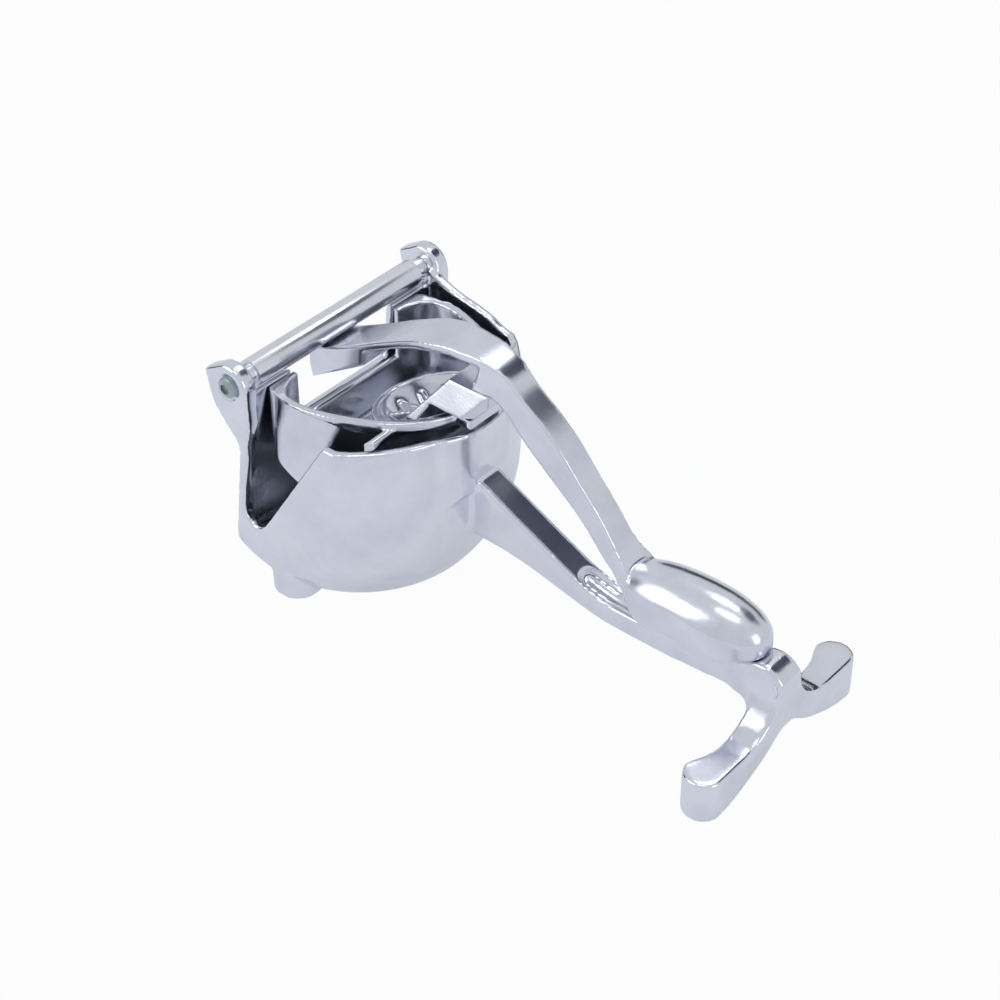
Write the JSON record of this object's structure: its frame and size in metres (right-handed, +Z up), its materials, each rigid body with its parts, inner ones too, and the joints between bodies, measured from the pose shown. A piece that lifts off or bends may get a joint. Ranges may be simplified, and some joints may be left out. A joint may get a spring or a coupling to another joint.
{
  "type": "hinged lemon squeezer",
  "caption": "Cast table-top citrus squeezer: a bowl on feet with a lower handle, a lift-out strainer cup, and a press arm with a domed grip that hooks under a hinge bar.",
  "frame": {"origin": "middle of the box's base, on the plane that the feet stand on", "axes": "+X from the hinge bar along the handles to the fork, +Y along the hinge bar, +Z up"},
  "size_m": [0.22, 0.1122, 0.1121],
  "materials": {
    "cast_body": "polished casting",
    "cast_cup": "polished casting",
    "cast_arm": "polished casting",
    "cast_head": "polished casting",
    "turned_bar": "turned and polished",
    "zinc_screws": "zinc plated"
  },
  "bodies": {
    "base": {"body_casting": "cast_body", "strainer_cup": "cast_cup", "hinge_bar": "turned_bar", "hinge_screws": "zinc_screws"},
    "arm": {"press_arm": "cast_arm", "press_head": "cast_head", "head_screw": "zinc_screws"}
  },
  "joints": [
    {"name": "arm_hinge", "type": "hinge", "parent": "base", "child": "arm", "pos_m": [-0.0985, 0, 0.091], "axis": [0, -1, 0], "range_deg": [0, 80]}
  ]
}
